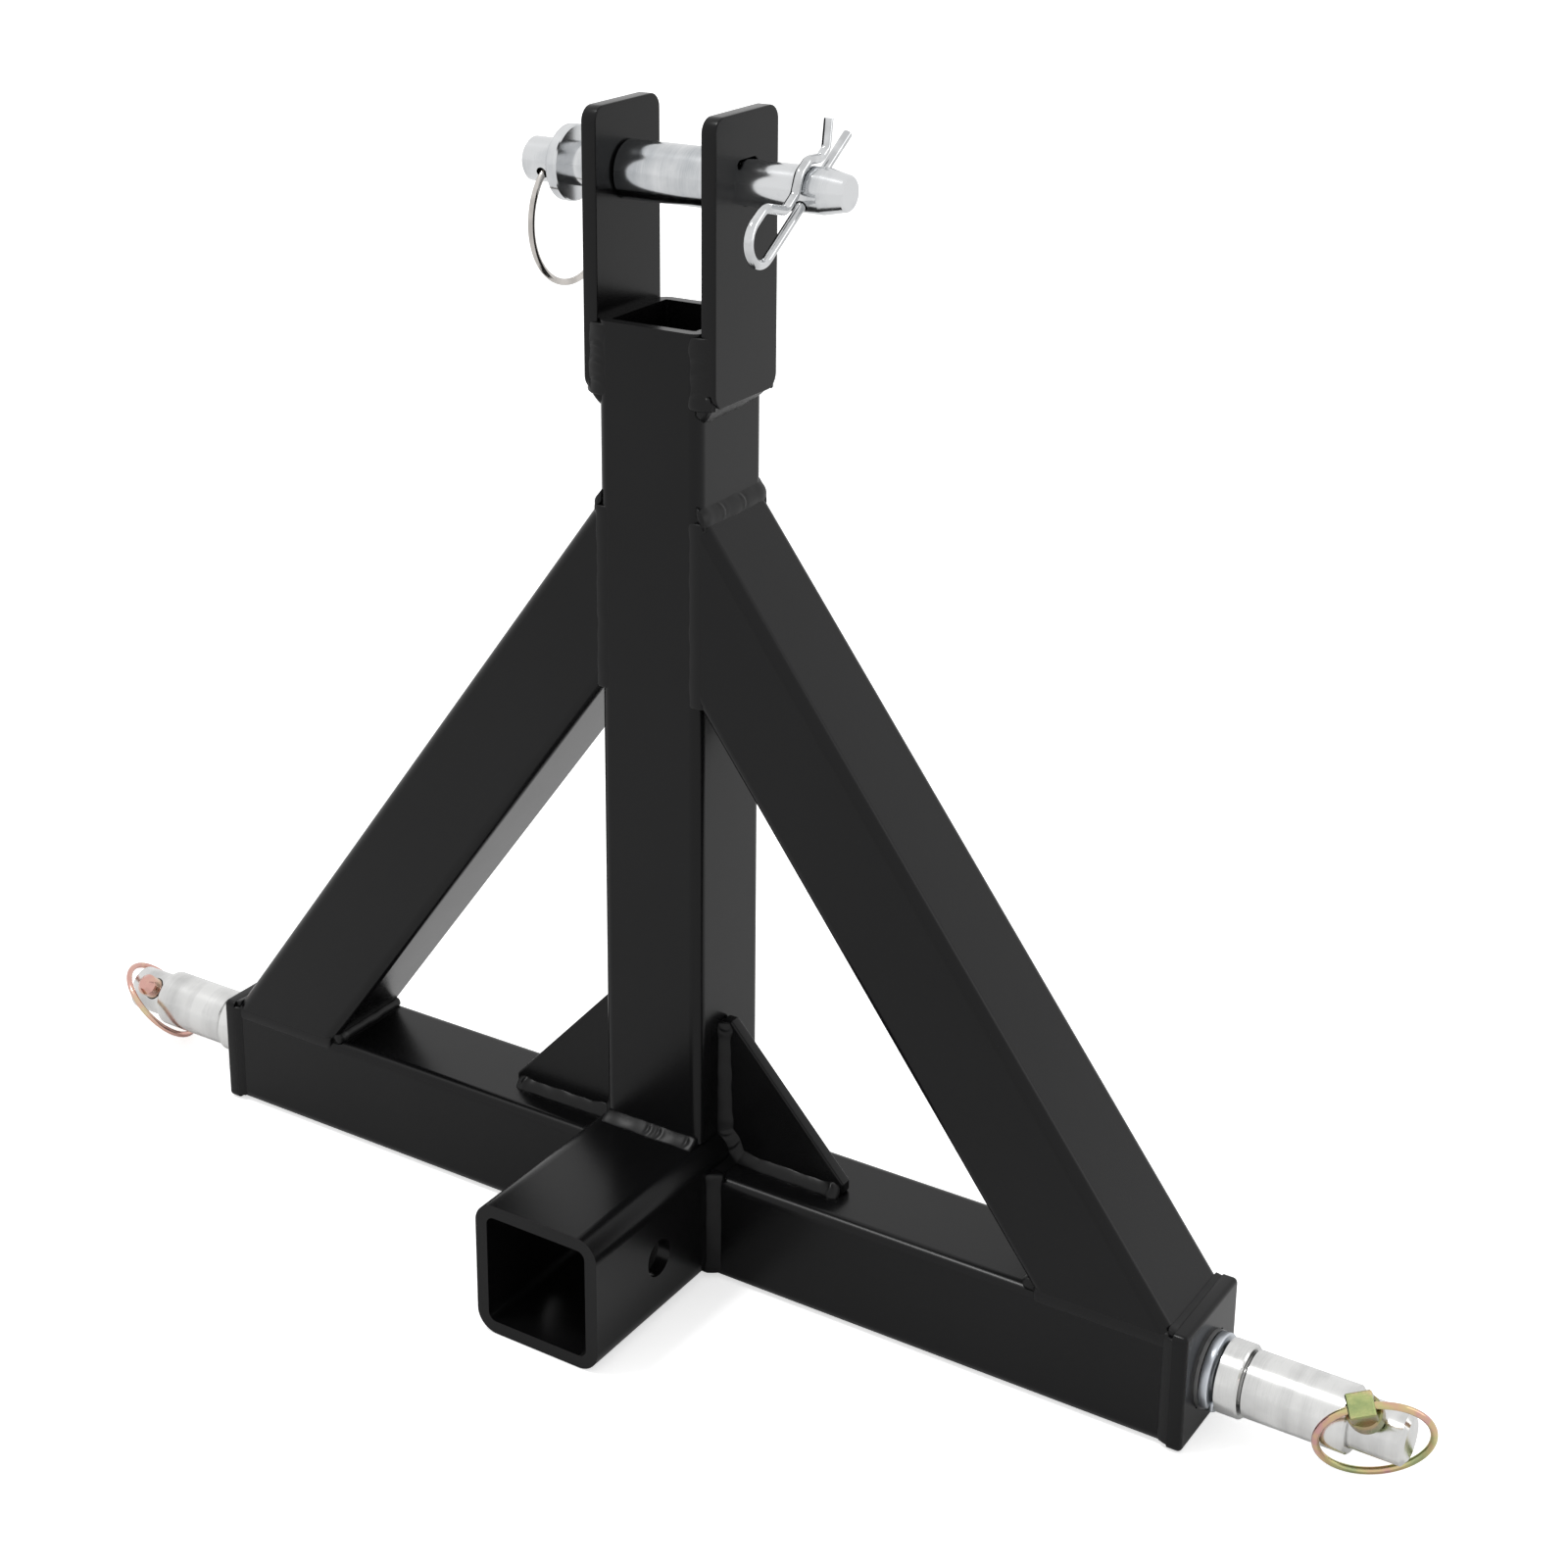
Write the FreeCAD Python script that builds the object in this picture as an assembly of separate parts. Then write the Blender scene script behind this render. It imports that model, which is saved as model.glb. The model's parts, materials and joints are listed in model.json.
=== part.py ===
import FreeCAD, Part
import math
import os
from FreeCAD import Vector

# Frame of the part: X to the right, Y towards the tractor, Z up, in millimetres.
# X = 0 is the middle of the hitch, Y = 0 the front face of the crossbar, Z = 0 the ground.

# Square tubes of the frame
bar_size = 50.8
bar_wall = 4.8
bar_corner = 5.0
crossbar_reach = 250.75
mast_top_height = 434.5
brace_top_gap = 46.2

# Receiver tube
receiver_size = 63.5
receiver_wall = 6.0
receiver_corner = 10.0
receiver_reach = 89.5
hitch_hole_diameter = 17.0
hitch_hole_setback = 47.5

# End plates
end_plate_thickness = 6.35
end_plate_side_overhang = 1.5
end_plate_top_overhang = 3.1
end_plate_edge_radius = 2.2

# Gussets between the mast and the crossbar
gusset_thickness = 6.0
gusset_front = 18.5
gusset_reach = 63.0
gusset_height = 68.0
gusset_top_land = 5.5
gusset_tip_land = 5.5
gusset_inner_cut = 15.0

# Clevis ears on the mast
ear_thickness = 7.0
ear_setback = 1.4
ear_height = 119.0
ear_overlap = 31.5
ear_corner = 6.5
ear_hole_diameter = 21.0
ear_hole_drop = 27.8

# Weld beads, each leg measured from the corner along one of the joined faces
mast_foot_bead_out = 5.6
mast_foot_bead_rise = 3.6
receiver_bead_out = 3.9
receiver_bead_width = 5.3
receiver_bead_start = 3.5
receiver_bead_over = 1.7
receiver_top_bead_rise = 2.6
receiver_top_bead_width = 3.7
ear_bead_lap = 4.2
ear_bead_width = 4.1
ear_bead_crown = 1.1
ear_bottom_bead_out = 3.6
ear_bottom_bead_drop = 6.4
brace_top_bead_rise = 4.0
brace_top_bead_width = 5.5
brace_top_bead_crown = 1.0
brace_foot_bead = 4.0
gusset_bead_width = 7.5
gusset_bead_front = 3.5
gusset_bead_rise = 4.2
gusset_bead_turn = 4.5
gusset_bead_lip = 0.6
plate_side_bead = 4.2
plate_top_bead = 2.6
bead_crown = 0.4
bead_root = 3.0
bead_end_gap = 2.0
bead_tail_gap = 0.5

# Top link pin
top_pin_diameter = 19.0
top_pin_seat_gap = 0.05
top_flange_diameter = 32.4
top_flange_thickness = 5.2
top_flange_setback = 18.6
top_knob_length = 18.0
top_knob_hole_diameter = 5.2
top_knob_hole_setback = 7.2
top_knob_hole_tilt = 26.0
top_pin_reach = 47.4
top_nose_length = 10.6
top_nose_end_diameter = 13.2
top_knob_chamfer = 1.5
top_flange_chamfer = 0.6
clip_hole_diameter = 5.0
clip_hole_setback = 7.0
clip_tilt = 33.0
top_bushing_diameter = 25.0
top_bushing_play = 0.5
top_bushing_chamfer = 0.6
bushing_bore_clearance = 0.15
edge_chamfer = 0.8

# Ring handle of the top pin
top_ring_radius = 29.0
top_ring_wire = 3.0

# Spring clip of the top pin
clip_wire = 4.0
clip_tip_reach = 33.0
clip_loop_reach = 48.5
clip_loop_width = 18.6
clip_loop_length = 17.7
clip_eye_slack = 0.3
clip_waist = 7.2
clip_waist_start = 20.0
clip_waist_end = 11.0
clip_crest_gap = 0.5
clip_crest_length = 8.0
clip_throat = 6.5
clip_throat_start = 11.5
clip_throat_end = 17.0
clip_flare = 15.5
clip_flare_reach = 25.0
clip_neck_bend = 7.0
clip_bend = 5.0
clip_flare_bend = 4.0

# Lower link pins
stud_length = 28.0
stud_clearance = 0.1
stud_chamfer = 1.0
plate_hole_diameter = 34.0
nut_flat_clearance = 3.6
nut_wall = 7.0
nut_thickness = 18.0
nut_face_diameter = 33.0
nut_face_height = 1.5
lock_washer_width = 6.0
lock_washer_thickness = 4.8
lock_washer_split = 2.6
lock_washer_clearance = 0.3
collar_diameter = 31.0
collar_length = 11.0
collar_bevel_depth = 2.4
collar_bevel_length = 1.6
lower_pin_diameter = 22.0
lower_pin_tip_chamfer = 2.4
lower_pin_tip_length = 1.7
lower_bushing_diameter = 28.0
lower_bushing_length = 43.2
lower_bushing_play = 0.8
lower_pin_overhang = 22.3

# Linch pins with their rings
linch_setback = 15.4
linch_shank_diameter = 10.8
linch_hole_clearance = 0.4
linch_head_gap = 2.8
linch_collar_diameter = 14.8
linch_collar_height = 7.6
linch_block_size = 10.6
linch_block_height = 7.2
linch_block_chamfer = 0.6
linch_tip_reach = 19.0
linch_tip_chamfer = 2.3
linch_ring_radius = 22.8
linch_ring_wire = 3.0
linch_ring_hole_clearance = 0.45
linch_ring_end_depth = 2.5
right_linch_tilt = 48.8
right_linch_twist = 29.8
right_ring_swing = -14.7
left_linch_tilt = 221.4
left_linch_twist = 37.4
left_ring_swing = 9.7

# Places that follow from the sizes above
bar_middle = bar_size / 2
mast_side = bar_size / 2
receiver_side = receiver_size / 2
bar_axis_height = bar_size / 2
nut_across_flats = bar_size - 2 * bar_wall - 2 * nut_flat_clearance
stud_diameter = nut_across_flats - 2 * nut_wall
lock_washer_bore = stud_diameter + 2 * lock_washer_clearance
lock_washer_diameter = lock_washer_bore + 2 * lock_washer_width
plate_face = crossbar_reach + end_plate_thickness
ear_width = bar_size - 2 * ear_setback
ear_outer = mast_side + ear_thickness
ear_top_height = mast_top_height - ear_overlap + ear_height
ear_bottom_height = mast_top_height - ear_overlap
brace_top_height = ear_bottom_height - brace_top_gap
gusset_top_height = bar_size + gusset_height
gusset_cut_height = bar_size + gusset_inner_cut + (receiver_size - bar_size) / 2
ear_hole_height = ear_top_height - ear_hole_drop
top_pin_height = ear_hole_height - (ear_hole_diameter - top_pin_diameter) / 2 + top_pin_seat_gap
washer_start = plate_face + nut_face_height
collar_start = washer_start + lock_washer_thickness
collar_end = collar_start + collar_length
lower_bushing_start = collar_end + lower_bushing_play
lower_bushing_end = lower_bushing_start + lower_bushing_length
lower_pin_end = lower_bushing_end + lower_pin_overhang
linch_place = lower_pin_end - linch_setback
AXIS_X = Vector(1, 0, 0)
AXIS_Y = Vector(0, 1, 0)
AXIS_Z = Vector(0, 0, 1)
ORIGIN = Vector(0, 0, 0)
full_turn = 360.0


def mirrored(shape):
    return shape.mirror(ORIGIN, AXIS_X)


def edges_along(shape, axis):
    found = []
    for edge in shape.Edges:
        if isinstance(edge.Curve, Part.Line) and abs(edge.Curve.Direction.dot(axis)) > 0.999:
            found.append(edge)
    return found


def rounded_bar(size, corner, length):
    """Square bar with rounded corners, standing on Z = 0 about the Z axis."""
    bar = Part.makeBox(size, size, length, Vector(-size / 2, -size / 2, 0))
    return bar.makeFillet(corner, edges_along(bar, AXIS_Z))


def square_tube(size, wall, corner, length):
    inner_corner = max(corner - wall, wall / 4)
    outside = rounded_bar(size, corner, length)
    inside = rounded_bar(size - 2 * wall, inner_corner, length)
    return outside.cut(inside)


def turned(profile):
    """Round piece about the X axis from (place along X, radius) points."""
    first = profile[0][0]
    last = profile[-1][0]
    points = [Vector(first, 0, 0)]
    points += [Vector(place, 0, radius) for place, radius in profile]
    points += [Vector(last, 0, 0), Vector(first, 0, 0)]
    face = Part.Face(Part.makePolygon(points))
    return face.revolve(ORIGIN, AXIS_X, full_turn)


def bent_path(points, radii):
    """Straight runs joined by tangent arcs, one radius for each inner point."""
    edges = []
    start = points[0]
    for index in range(1, len(points) - 1):
        before = (points[index - 1] - points[index]).normalize()
        after = (points[index + 1] - points[index]).normalize()
        half_angle = before.getAngle(after) / 2
        setback = radii[index - 1] / math.tan(half_angle)
        bisector = (before + after).normalize()
        centre = points[index] + bisector * (radii[index - 1] / math.sin(half_angle))
        arc_start = points[index] + before * setback
        arc_middle = centre - bisector * radii[index - 1]
        arc_end = points[index] + after * setback
        if (arc_start - start).Length > 0.001:
            edges.append(Part.LineSegment(start, arc_start).toShape())
        edges.append(Part.Arc(arc_start, arc_middle, arc_end).toShape())
        start = arc_end
    edges.append(Part.LineSegment(start, points[-1]).toShape())
    return Part.Wire(edges)


def round_wire(path, diameter):
    first = path.Edges[0]
    start = first.valueAt(first.FirstParameter)
    direction = first.tangentAt(first.FirstParameter)
    section = Part.Wire([Part.makeCircle(diameter / 2, start, direction)])
    return path.makePipeShell([section], True, True)


def receiver_tube():
    length = receiver_reach + bar_size
    tube = square_tube(receiver_size, receiver_wall, receiver_corner, length)
    tube.rotate(ORIGIN, AXIS_X, -90)
    tube.translate(Vector(0, -receiver_reach, receiver_size / 2))
    hole_place = -receiver_reach + hitch_hole_setback
    drill = Part.makeCylinder(
        hitch_hole_diameter / 2,
        receiver_size,
        Vector(-receiver_side, hole_place, receiver_size / 2),
        AXIS_X,
    )
    return tube.cut(drill)


def mast_tube():
    tube = square_tube(bar_size, bar_wall, bar_corner, mast_top_height - receiver_size)
    tube.translate(Vector(0, bar_middle, receiver_size))
    return tube


def crossbar():
    tube = square_tube(bar_size, bar_wall, bar_corner, crossbar_reach - receiver_side)
    tube.rotate(ORIGIN, AXIS_Y, 90)
    tube.translate(Vector(receiver_side, bar_middle, bar_axis_height))
    return tube


def brace_direction():
    """Direction down the brace, from the mast to the crossbar's end."""
    return Vector(crossbar_reach - mast_side, 0, bar_size - brace_top_height).normalize()


def brace(wall):
    """Tube from the mast's side down to the crossbar's end, mitred against both; solid with no wall."""
    top = Vector(mast_side, bar_middle, brace_top_height)
    foot = Vector(crossbar_reach, bar_middle, bar_size)
    along = brace_direction()
    inward = AXIS_Y.cross(along)
    length = (foot - top).Length + 4 * bar_size
    tube = rounded_bar(bar_size, bar_corner, length)
    if wall:
        tube = square_tube(bar_size, wall, bar_corner, length)
    slope = math.degrees(math.atan2(along.x, along.z))
    tube.rotate(ORIGIN, AXIS_Y, slope)
    tube.translate(top - along * (2 * bar_size) + inward * (bar_size / 2))
    room = Part.makeBox(
        crossbar_reach - mast_side,
        2 * bar_size,
        brace_top_height,
        Vector(mast_side, bar_middle - bar_size, bar_size),
    )
    return tube.common(room)


def gusset():
    """Triangular plate with cut tips, its inner corner cut off over the receiver's edge."""
    far = mast_side + gusset_reach
    outline = [
        (mast_side, gusset_cut_height),
        (mast_side, gusset_top_height),
        (mast_side + gusset_top_land, gusset_top_height),
        (far, bar_size + gusset_tip_land),
        (far, bar_size),
        (mast_side + gusset_inner_cut, bar_size),
        (mast_side, gusset_cut_height),
    ]
    wire = Part.makePolygon([Vector(x, gusset_front, z) for x, z in outline])
    return Part.Face(wire).extrude(Vector(0, gusset_thickness, 0))


def end_plate():
    """Plate on the crossbar's end, all its edges rounded but those of the welded face."""
    width = bar_size + 2 * end_plate_side_overhang
    height = bar_size + end_plate_top_overhang
    corner = Vector(crossbar_reach, -end_plate_side_overhang, 0)
    plate = Part.makeBox(end_plate_thickness, width, height, corner)
    half_way = crossbar_reach + end_plate_thickness / 2
    rounded = [edge for edge in plate.Edges if edge.CenterOfMass.x > half_way - 0.01]
    plate = plate.makeFillet(end_plate_edge_radius, rounded)
    bore = Part.makeCylinder(
        plate_hole_diameter / 2,
        end_plate_thickness,
        Vector(crossbar_reach, bar_middle, bar_axis_height),
        AXIS_X,
    )
    return plate.cut(bore)


def clevis_ear():
    corner = Vector(mast_side, ear_setback, ear_bottom_height)
    blank = Part.makeBox(ear_thickness, ear_width, ear_height, corner)
    blank = blank.makeFillet(ear_corner, edges_along(blank, AXIS_X))
    hole = Part.makeCylinder(
        ear_hole_diameter / 2,
        ear_thickness,
        Vector(mast_side, bar_middle, ear_hole_height),
        AXIS_X,
    )
    return blank.cut(hole)


def arched_bead(first_toe, crest, second_toe, roots, along, neighbours):
    """Bead with an arched front between two toes, its roots cut off by the pieces that it joins."""
    front = Part.Arc(first_toe, crest, second_toe).toShape()
    back = Part.makePolygon([second_toe] + roots + [first_toe])
    section = Part.Face(Part.Wire([front] + back.Edges))
    return section.extrude(along).cut(neighbours)


def corner_bead(start, end, first_leg, second_leg, crown, neighbours):
    """Bead in the corner of two faces, each leg running from the corner to a toe."""
    first_toe = start + first_leg
    second_toe = start + second_leg
    outward = (first_leg + second_leg).normalize()
    crest = (first_toe + second_toe) * 0.5 + outward * crown
    first_root = first_leg * (bead_root / first_leg.Length)
    second_root = second_leg * (bead_root / second_leg.Length)
    roots = [second_toe - first_root, start - first_root - second_root, first_toe - second_root]
    return arched_bead(first_toe, crest, second_toe, roots, end - start, neighbours)


def mast_foot_weld(neighbours):
    half = mast_side - bead_end_gap
    start = Vector(-half, 0, receiver_size)
    end = Vector(half, 0, receiver_size)
    out = Vector(0, -mast_foot_bead_out, 0)
    rise = Vector(0, 0, mast_foot_bead_rise)
    return corner_bead(start, end, out, rise, bead_crown, neighbours)


def receiver_weld(neighbours):
    """Bead up the crossbar's front beside the receiver and back over its top to the gusset."""
    upright = corner_bead(
        Vector(receiver_side, 0, receiver_bead_start),
        Vector(receiver_side, 0, bar_size + receiver_bead_over),
        Vector(0, -receiver_bead_out, 0),
        Vector(receiver_bead_width, 0, 0),
        bead_crown,
        neighbours,
    )
    across = corner_bead(
        Vector(receiver_side, -bead_tail_gap, bar_size),
        Vector(receiver_side, gusset_front, bar_size),
        Vector(0, 0, receiver_top_bead_rise),
        Vector(receiver_top_bead_width, 0, 0),
        bead_crown,
        neighbours,
    )
    return upright.fuse(across).removeSplitter()


def ear_weld(neighbours):
    """Beads up both edges of an ear and along its bottom, over the part that lies on the mast."""
    lap = mast_side - ear_bead_lap
    reach = mast_side + ear_bead_width
    low = ear_bottom_height
    first_toe = Vector(lap, 0, low)
    second_toe = Vector(reach, ear_setback, low)
    crest = (first_toe + second_toe) * 0.5 - AXIS_Y * ear_bead_crown
    depth = ear_setback + ear_corner
    roots = [Vector(reach, depth, low), Vector(lap, depth, low)]
    along = Vector(0, 0, ear_overlap - bead_end_gap)
    front = arched_bead(first_toe, crest, second_toe, roots, along, neighbours)
    back = front.mirror(Vector(0, bar_middle, 0), AXIS_Y)
    under = corner_bead(
        Vector(mast_side, bead_tail_gap, low),
        Vector(mast_side, bar_size - bead_tail_gap, low),
        Vector(ear_bottom_bead_out, 0, 0),
        Vector(0, 0, -ear_bottom_bead_drop),
        bead_crown,
        neighbours,
    )
    return under.fuse([front, back]).removeSplitter()


def brace_top_weld(neighbours):
    start = Vector(mast_side, bead_tail_gap, brace_top_height)
    end = Vector(mast_side, bar_size - bead_tail_gap, brace_top_height)
    rise = Vector(0, 0, brace_top_bead_rise)
    slope = brace_direction() * brace_top_bead_width
    return corner_bead(start, end, rise, slope, brace_top_bead_crown, neighbours)


def brace_foot_weld(neighbours, foot):
    start = Vector(foot, bead_end_gap, bar_size)
    end = Vector(foot, bar_size - bead_end_gap, bar_size)
    run = Vector(-brace_foot_bead, 0, 0)
    climb = brace_direction() * -brace_foot_bead
    return corner_bead(start, end, run, climb, bead_crown, neighbours)


def gusset_weld(neighbours):
    """Bead down the mast, over the cut corner and out along the crossbar, thin at its front toe."""
    high = gusset_top_height - bead_tail_gap
    far = mast_side + gusset_reach - bead_end_gap
    side = mast_side + gusset_bead_width
    low = bar_size + gusset_bead_rise
    cut_end = mast_side + gusset_inner_cut
    thin_side = mast_side + gusset_bead_lip
    thin_low = bar_size + gusset_bead_lip
    shoulder = high - gusset_bead_width
    gusset_toe = [
        (mast_side + gusset_top_land / 2, high),
        (side, shoulder),
        (side, gusset_cut_height),
        (cut_end - gusset_bead_turn / 2, low + gusset_bead_turn),
        (cut_end + gusset_bead_turn, low),
        (far, low),
    ]
    frame_toe = [
        (thin_side, high),
        (thin_side, shoulder),
        (thin_side, receiver_size),
        (receiver_side, low),
        (receiver_side + gusset_bead_rise, thin_low),
        (far, thin_low),
    ]
    roots = [
        (far, bar_size - bead_root),
        (mast_side - bead_root, bar_size - bead_root),
        (mast_side - bead_root, high),
    ]
    outlines = []
    for toe, place in ((frame_toe, gusset_front - gusset_bead_front), (gusset_toe, gusset_front)):
        points = toe + roots + toe[:1]
        outlines.append(Part.makePolygon([Vector(x, place, z) for x, z in points]))
    return Part.makeLoft(outlines, True, True).cut(neighbours)


def end_plate_weld(neighbours):
    """Sloped bead against the inner face of the end plate, up both sides and over the brace's foot."""
    rise = end_plate_side_overhang
    top = bar_size + end_plate_top_overhang
    climb = (brace_top_height - bar_size) / (crossbar_reach - mast_side)
    upright = [
        (crossbar_reach, -rise),
        (crossbar_reach, bar_corner),
        (crossbar_reach - plate_side_bead, bar_corner),
        (crossbar_reach - plate_side_bead, 0),
        (crossbar_reach, -rise),
    ]
    wire = Part.makePolygon([Vector(x, y, bead_end_gap) for x, y in upright])
    height = top - end_plate_edge_radius - bead_end_gap
    front = Part.Face(wire).extrude(Vector(0, 0, height))
    back = front.mirror(Vector(0, bar_middle, 0), AXIS_Y)
    over = [
        (crossbar_reach, bar_size - bead_root),
        (crossbar_reach, top),
        (crossbar_reach - plate_top_bead, bar_size + plate_top_bead * climb),
        (crossbar_reach - plate_top_bead, bar_size - bead_root),
        (crossbar_reach, bar_size - bead_root),
    ]
    over_wire = Part.makePolygon([Vector(x, 0, z) for x, z in over])
    across = Part.Face(over_wire).extrude(Vector(0, bar_size, 0))
    return across.fuse([front, back]).cut(neighbours).removeSplitter()


def weld_nut():
    """Hexagon nut inside the crossbar with a round face that stands through the end plate."""
    corners = []
    for index in range(7):
        angle = math.radians(60 * index)
        reach = nut_across_flats / 2 / math.cos(math.radians(30))
        corners.append(Vector(0, reach * math.cos(angle), reach * math.sin(angle)))
    hexagon = Part.Face(Part.makePolygon(corners)).extrude(Vector(nut_thickness, 0, 0))
    neck = Part.makeCylinder(
        nut_face_diameter / 2,
        end_plate_thickness + nut_face_height,
        Vector(nut_thickness, 0, 0),
        AXIS_X,
    )
    body = hexagon.fuse(neck)
    length = nut_thickness + end_plate_thickness + nut_face_height
    body = body.cut(Part.makeCylinder(stud_diameter / 2 + stud_clearance, length, ORIGIN, AXIS_X))
    body.translate(Vector(crossbar_reach - nut_thickness, bar_middle, bar_axis_height))
    return body


def lock_washer():
    """Split spring washer with a slanted cut."""
    outside = Part.makeCylinder(lock_washer_diameter / 2, lock_washer_thickness, ORIGIN, AXIS_X)
    inside = Part.makeCylinder(lock_washer_bore / 2, lock_washer_thickness, ORIGIN, AXIS_X)
    ring = outside.cut(inside)
    low = -lock_washer_thickness / 2
    high = lock_washer_thickness - low
    half_split = lock_washer_split / 2
    outline = [
        Vector(low, low - half_split, 0),
        Vector(high, high - half_split, 0),
        Vector(high, high + half_split, 0),
        Vector(low, low + half_split, 0),
        Vector(low, low - half_split, 0),
    ]
    slot = Part.Face(Part.makePolygon(outline)).extrude(Vector(0, 0, -lock_washer_diameter))
    washer = ring.cut(slot)
    washer.translate(Vector(washer_start, bar_middle, bar_axis_height))
    return washer


def lower_pin():
    """Turned pin: threaded stud, shoulder collar and link pin with a cross hole near its end."""
    shaft = lower_pin_diameter / 2
    stud = stud_diameter / 2
    shoulder = collar_diameter / 2
    stud_start = collar_start - stud_length
    profile = [
        (stud_start, stud - stud_chamfer),
        (stud_start + stud_chamfer, stud),
        (collar_start, stud),
        (collar_start, shoulder - collar_bevel_depth),
        (collar_start + collar_bevel_length, shoulder),
        (collar_end - edge_chamfer, shoulder),
        (collar_end, shoulder - edge_chamfer),
        (collar_end, shaft),
        (lower_pin_end - lower_pin_tip_length, shaft),
        (lower_pin_end, shaft - lower_pin_tip_chamfer),
    ]
    pin = turned(profile)
    pin.translate(Vector(0, bar_middle, bar_axis_height))
    return pin


def drilled(pin, side, tilt):
    """Cross hole for the linch pin, through the pin on the given side."""
    direction = linch_direction(tilt)
    centre = Vector(side * linch_place, bar_middle, bar_axis_height)
    radius = linch_shank_diameter / 2 + linch_hole_clearance
    start = centre - direction * lower_pin_diameter
    return pin.cut(Part.makeCylinder(radius, 2 * lower_pin_diameter, start, direction))


def lower_bushing():
    inner = lower_pin_diameter / 2 + bushing_bore_clearance
    outer = lower_bushing_diameter / 2
    bore = Part.makeCylinder(inner, lower_bushing_length, Vector(lower_bushing_start, 0, 0), AXIS_X)
    profile = [
        (lower_bushing_start, outer - edge_chamfer),
        (lower_bushing_start + edge_chamfer, outer),
        (lower_bushing_end - edge_chamfer, outer),
        (lower_bushing_end, outer - edge_chamfer),
    ]
    sleeve = turned(profile).cut(bore)
    sleeve.translate(Vector(0, bar_middle, bar_axis_height))
    return sleeve


def linch_direction(tilt):
    """Direction from the pin's axis to the linch pin's head, tilted up from the front."""
    angle = math.radians(tilt)
    return Vector(0, -math.cos(angle), math.sin(angle))


def linch_frame(side, tilt, twist):
    """Placement that stands a linch pin, made along Z, across the lower pin of one side."""
    up = linch_direction(tilt)
    flat = AXIS_X.cross(up) * -1
    turn = math.radians(twist)
    hinge = AXIS_X * math.cos(turn) + flat * math.sin(turn)
    third = up.cross(hinge)
    matrix = FreeCAD.Matrix(
        hinge.x, third.x, up.x, side * linch_place,
        hinge.y, third.y, up.y, bar_middle,
        hinge.z, third.z, up.z, bar_axis_height,
    )
    return FreeCAD.Placement(matrix)


def linch_hole_height():
    return lower_pin_diameter / 2 + linch_head_gap + linch_collar_height + linch_block_height / 2


def linch_pin():
    """Linch pin standing on Z: round tipped shank, round collar and square block with a ring hole."""
    shank = linch_shank_diameter / 2
    collar = linch_collar_diameter / 2
    seat = lower_pin_diameter / 2 + linch_head_gap
    block_base = seat + linch_collar_height
    profile = [
        (-linch_tip_reach, shank - linch_tip_chamfer),
        (-linch_tip_reach + linch_tip_chamfer, shank),
        (seat, shank),
        (seat, collar - edge_chamfer),
        (seat + edge_chamfer, collar),
        (block_base - edge_chamfer, collar),
        (block_base, collar - edge_chamfer),
    ]
    body = turned(profile)
    body.rotate(ORIGIN, AXIS_Y, -90)
    corner = Vector(-linch_block_size / 2, -linch_block_size / 2, block_base)
    block = Part.makeBox(linch_block_size, linch_block_size, linch_block_height, corner)
    upper = [edge for edge in block.Edges if edge.CenterOfMass.z > block_base + 0.1]
    block = block.makeChamfer(linch_block_chamfer, upper)
    hole_radius = linch_ring_wire / 2 + linch_ring_hole_clearance
    hole_start = Vector(-linch_collar_diameter, 0, linch_hole_height())
    hole = Part.makeCylinder(hole_radius, 2 * linch_collar_diameter, hole_start, AXIS_X)
    return body.fuse(block).cut(hole)


def linch_ring(swing):
    """Open wire ring whose two ends sit in the block's hole, swung about that hole."""
    radius = linch_ring_radius
    end_place = linch_block_size / 2 - linch_ring_end_depth
    depth = linch_block_size / 2 - linch_ring_end_depth / 2
    drop = math.sqrt(radius ** 2 - depth ** 2)
    half_gap = math.degrees(math.asin(end_place / radius))
    sweep = full_turn - 2 * half_gap
    wire = Part.makeTorus(radius, linch_ring_wire / 2, ORIGIN, AXIS_Z, 0, full_turn, sweep)
    wire.rotate(ORIGIN, AXIS_Z, 90 + half_gap)
    wire.rotate(ORIGIN, AXIS_X, 90)
    wire.translate(Vector(0, 0, -drop))
    wire.rotate(ORIGIN, AXIS_X, swing)
    wire.translate(Vector(0, 0, linch_hole_height()))
    return wire


def placed(shape, placement):
    result = shape.copy()
    result.Placement = placement.multiply(result.Placement)
    return result


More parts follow.
